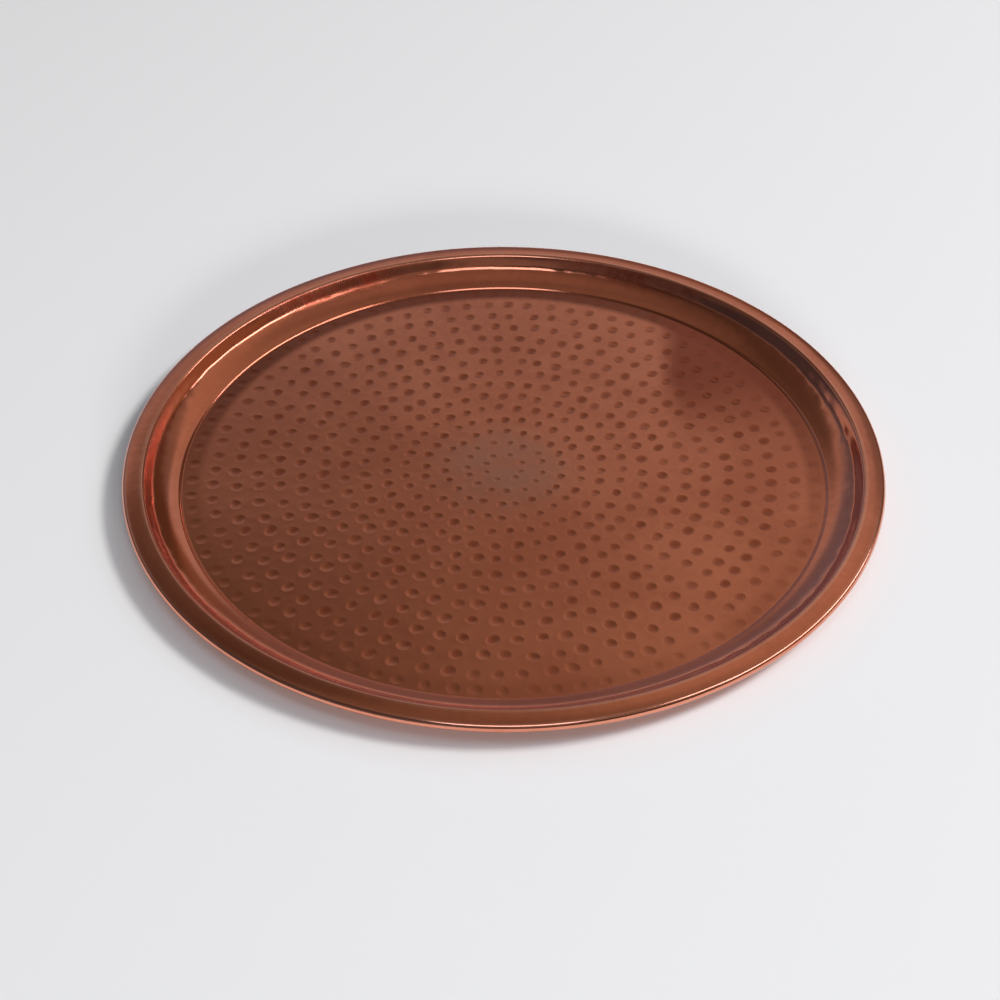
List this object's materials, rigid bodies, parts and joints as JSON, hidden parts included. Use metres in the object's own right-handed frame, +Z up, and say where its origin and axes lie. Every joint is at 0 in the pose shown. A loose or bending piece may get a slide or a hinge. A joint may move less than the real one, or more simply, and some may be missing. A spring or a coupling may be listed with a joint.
{
  "type": "serving tray",
  "caption": "Round shallow serving tray of hammered copper with a flat floor, a coved wall and a flat rim rolled over a wire.",
  "frame": {"origin": "centre of the flat underside", "axes": "+Z up along the tray's axis of revolution; X and Y lie in the plane it stands on"},
  "size_m": [0.35, 0.35, 0.0121],
  "materials": {
    "copper": "satin",
    "wire": "satin"
  },
  "bodies": {
    "root": {"tray_pan": "copper", "edge_wire": "wire"}
  },
  "joints": []
}
